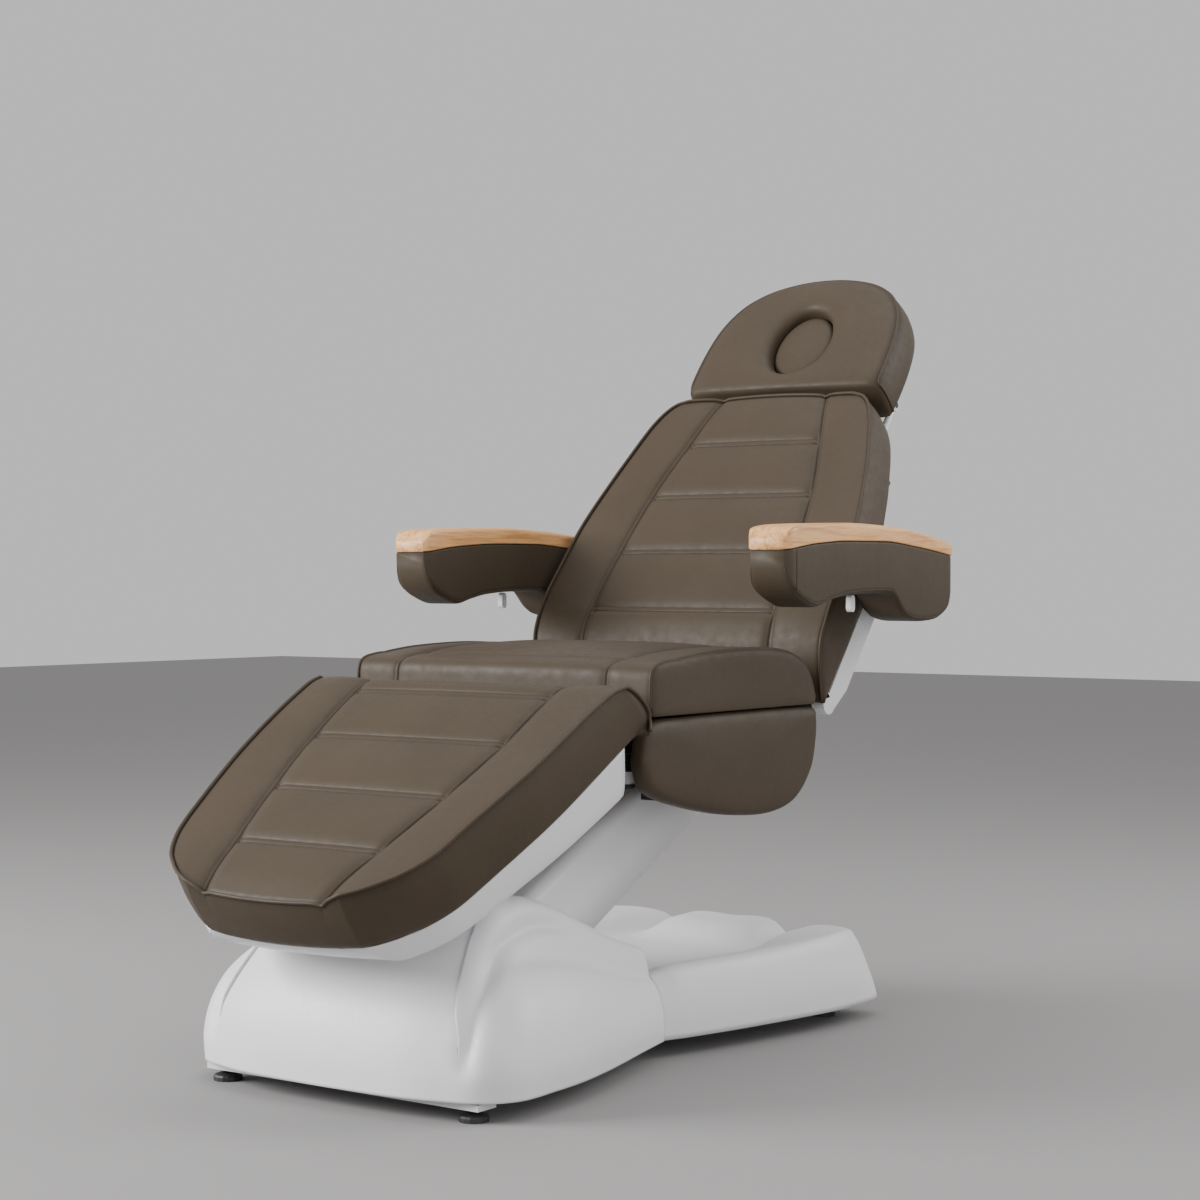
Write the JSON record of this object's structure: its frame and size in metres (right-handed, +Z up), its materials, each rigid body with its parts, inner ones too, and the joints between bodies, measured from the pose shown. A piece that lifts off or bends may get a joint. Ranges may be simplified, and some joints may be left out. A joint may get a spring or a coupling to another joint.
{
  "type": "electric beauty bed",
  "caption": "Adjustable treatment bed with a moulded lift base, padded seat, hinged leg rest and backrest, headrest with face hole, and padded armrests with wooden caps.",
  "frame": {"origin": "on the floor, under the centre of the bed's box", "axes": "+Z up, -Y towards the foot end, +X towards the sitter's left"},
  "size_m": [0.86, 1.714, 1.4075],
  "materials": {
    "leatherette": "coated fabric with a soft sheen",
    "wood": "clear satin",
    "white_cover": "fine texture",
    "white_paint": "satin paint",
    "plywood": "raw",
    "dark_steel": "dark paint",
    "bright_steel": "ground",
    "black_plastic": "matt"
  },
  "bodies": {
    "base": {"base_crossbar_front": "white_paint", "base_crossbar_rear": "white_paint", "base_rail_left": "white_paint", "base_rail_right": "white_paint", "lift_bracket_left": "dark_steel", "lift_bracket_right": "dark_steel", "link_shaft_lower": "bright_steel", "front_cover": "white_cover", "rear_cover": "white_cover", "well_plate": "white_cover", "lift_actuator": "dark_steel", "control_box": "black_plastic", "power_inlet": "black_plastic"},
    "foot_front_left": {"foot_front_left": "black_plastic"},
    "foot_front_right": {"foot_front_right": "black_plastic"},
    "foot_rear_left": {"foot_rear_left": "black_plastic"},
    "foot_rear_right": {"foot_rear_right": "black_plastic"},
    "lift": {"lift_arm": "dark_steel", "lift_shaft": "bright_steel", "column_cover": "white_cover"},
    "link": {"levelling_link": "dark_steel"},
    "lift_rod": {"lift_rod": "bright_steel"},
    "seat": {"seat_rail_left": "dark_steel", "seat_rail_right": "dark_steel", "seat_crossbar_front": "dark_steel", "seat_crossbar_mid": "dark_steel", "seat_crossbar_rear": "dark_steel", "lift_hanger_left": "dark_steel", "lift_hanger_right": "dark_steel", "link_shaft_upper": "bright_steel", "seat_board": "plywood", "seat_cushion": "leatherette", "side_pad_left": "leatherette", "side_pad_right": "leatherette", "leg_actuator": "dark_steel", "back_actuator": "dark_steel"},
    "leg": {"leg_hinge": "dark_steel", "leg_board": "plywood", "leg_pan": "white_cover", "leg_cushion": "leatherette"},
    "leg_rod": {"leg_rod": "bright_steel"},
    "back": {"back_bar_left": "white_paint", "back_bar_right": "white_paint", "back_hinge": "dark_steel", "back_crossbar": "dark_steel", "back_board": "plywood", "back_cushion": "leatherette"},
    "back_rod": {"back_rod": "bright_steel"},
    "head_posts": {"head_post_left": "white_paint", "head_post_right": "white_paint"},
    "head": {"head_hinge": "dark_steel", "head_board": "plywood", "head_cushion": "leatherette"},
    "plug": {"face_plug": "leatherette"},
    "arm_left": {"arm_pad_left": "leatherette", "arm_cap_left": "wood"},
    "arm_right": {"arm_pad_right": "leatherette", "arm_cap_right": "wood"},
    "lever_left": {"arm_lever_left": "white_paint"},
    "lever_right": {"arm_lever_right": "white_paint"}
  },
  "joints": [
    {"name": "lift_raise", "type": "hinge", "parent": "base", "child": "lift", "pos_m": [0, -0.4486, 0.181], "axis": [1, 0, 0], "range_deg": [0, 36]},
    {"name": "seat_level", "type": "hinge", "parent": "lift", "child": "seat", "pos_m": [0, 0.0714, 0.457], "axis": [1, 0, 0], "range_deg": [-36, 0]},
    {"name": "link_swing", "type": "hinge", "parent": "base", "child": "link", "pos_m": [0, -0.4786, 0.216], "axis": [1, 0, 0], "range_deg": [0, 36]},
    {"name": "lift_rod_slide", "type": "slide", "parent": "base", "child": "lift_rod", "axis": [0, 1, 0], "range_m": [0, 0.0526]},
    {"name": "leg_raise", "type": "hinge", "parent": "seat", "child": "leg", "pos_m": [0, -0.2926, 0.557], "axis": [-1, 0, 0], "range_deg": [0, 32.3]},
    {"name": "leg_rod_slide", "type": "slide", "parent": "seat", "child": "leg_rod", "axis": [0, -1, 0], "range_m": [0, 0.0419]},
    {"name": "back_recline", "type": "hinge", "parent": "seat", "child": "back", "pos_m": [0, 0.2834, 0.584], "axis": [-1, 0, 0], "range_deg": [-18, 51.7]},
    {"name": "back_rod_slide", "type": "slide", "parent": "seat", "child": "back_rod", "axis": [0, -1, 0], "range_m": [-0.0267, 0.0764]},
    {"name": "head_extend", "type": "slide", "parent": "back", "child": "head_posts", "axis": [0, 0.6198, 0.7848], "range_m": [0, 0.06]},
    {"name": "head_tilt", "type": "hinge", "parent": "head_posts", "child": "head", "pos_m": [0, 0.73721, 1.14715], "axis": [-1, 0, 0], "range_deg": [-3, 40]},
    {"name": "plug_pull", "type": "slide", "parent": "head", "child": "plug", "axis": [0, -0.7848, 0.6198], "range_m": [0, 0.06]},
    {"name": "arm_left_swing", "type": "hinge", "parent": "back", "child": "arm_left", "pos_m": [0.3875, 0.46961, 0.79782], "axis": [-1, 0, 0], "range_deg": [-55, 60]},
    {"name": "arm_right_swing", "type": "hinge", "parent": "back", "child": "arm_right", "pos_m": [-0.3875, 0.46961, 0.79782], "axis": [-1, 0, 0], "range_deg": [-55, 60]},
    {"name": "lever_left_squeeze", "type": "hinge", "parent": "arm_left", "child": "lever_left", "pos_m": [0.3875, 0.2214, 0.7725], "axis": [1, 0, 0], "range_deg": [0, 15], "stiffness_Nm_per_rad": 0.4},
    {"name": "lever_right_squeeze", "type": "hinge", "parent": "arm_right", "child": "lever_right", "pos_m": [-0.3875, 0.2214, 0.7725], "axis": [1, 0, 0], "range_deg": [0, 15], "stiffness_Nm_per_rad": 0.4},
    {"name": "foot_front_left_turn", "type": "hinge", "parent": "base", "child": "foot_front_left", "pos_m": [0.255, -0.6616, 0], "axis": [0, 0, 1], "continuous": true},
    {"name": "foot_front_right_turn", "type": "hinge", "parent": "base", "child": "foot_front_right", "pos_m": [-0.255, -0.6616, 0], "axis": [0, 0, 1], "continuous": true},
    {"name": "foot_rear_left_turn", "type": "hinge", "parent": "base", "child": "foot_rear_left", "pos_m": [0.225, 0.4014, 0], "axis": [0, 0, 1], "continuous": true},
    {"name": "foot_rear_right_turn", "type": "hinge", "parent": "base", "child": "foot_rear_right", "pos_m": [-0.225, 0.4014, 0], "axis": [0, 0, 1], "continuous": true}
  ],
  "couplings": [
    {"joint": "seat_level", "follows": "lift_raise", "ratio": -1},
    {"joint": "link_swing", "follows": "lift_raise", "ratio": 1},
    {"joint": "lift_rod_slide", "follows": "lift_raise", "m_per_rad": 0.0836},
    {"joint": "leg_rod_slide", "follows": "leg_raise", "m_per_rad": 0.074},
    {"joint": "back_rod_slide", "follows": "back_recline", "m_per_rad": 0.0845}
  ]
}
